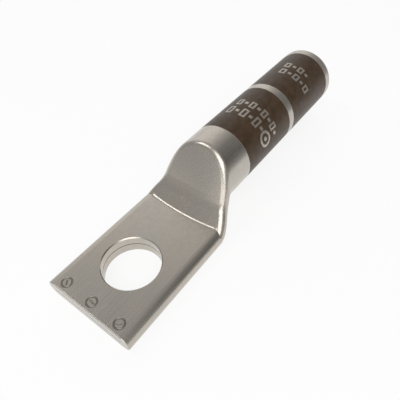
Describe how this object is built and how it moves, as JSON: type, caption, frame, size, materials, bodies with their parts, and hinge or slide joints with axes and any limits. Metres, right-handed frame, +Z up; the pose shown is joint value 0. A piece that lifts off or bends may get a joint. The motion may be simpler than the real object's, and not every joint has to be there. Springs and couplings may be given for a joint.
{
  "type": "compression lug",
  "caption": "Long barrel compression lug for a stranded cable: a round tinned copper barrel, pressed flat at its other end into a pad with one stud hole.",
  "frame": {"origin": "centre of the stud hole on the underside of the pad", "axes": "+X runs along the barrel from the stud hole towards the cable mouth, +Z is up through the stud hole, +Y completes the right hand"},
  "size_m": [0.0594, 0.0154, 0.0122],
  "materials": {
    "tinned_copper": "satin tin plating on copper"
  },
  "bodies": {
    "root": {"lug": "tinned_copper"}
  },
  "joints": []
}
